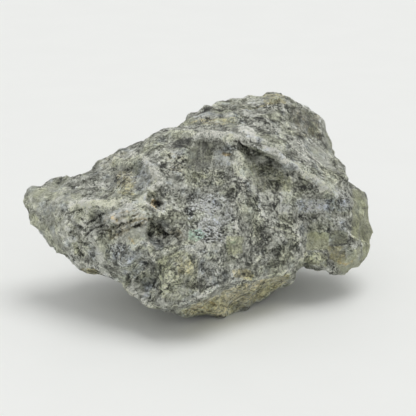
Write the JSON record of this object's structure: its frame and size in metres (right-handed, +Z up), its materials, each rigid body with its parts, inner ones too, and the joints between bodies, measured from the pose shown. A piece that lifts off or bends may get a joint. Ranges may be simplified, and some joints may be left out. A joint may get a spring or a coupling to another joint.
{
  "type": "rough emerald",
  "caption": "Rough, broken lump of grey-green emerald-bearing mica schist, pointed at one end, standing on a small worn foot.",
  "frame": {"origin": "under the middle of the stone, at the height of the surface that it stands on", "axes": "+X along the stone's length, from the pointed end towards the blunt end; +Y from the side seen in the picture towards the far side; +Z up"},
  "size_m": [0.059, 0.0406, 0.0312],
  "materials": {
    "emerald_rough": "rough broken grey-green stone with pale bruised edges, dark hollows, silvery mica, olive patches and faint green spots"
  },
  "bodies": {
    "root": {"emerald_rough": "emerald_rough"}
  },
  "joints": []
}
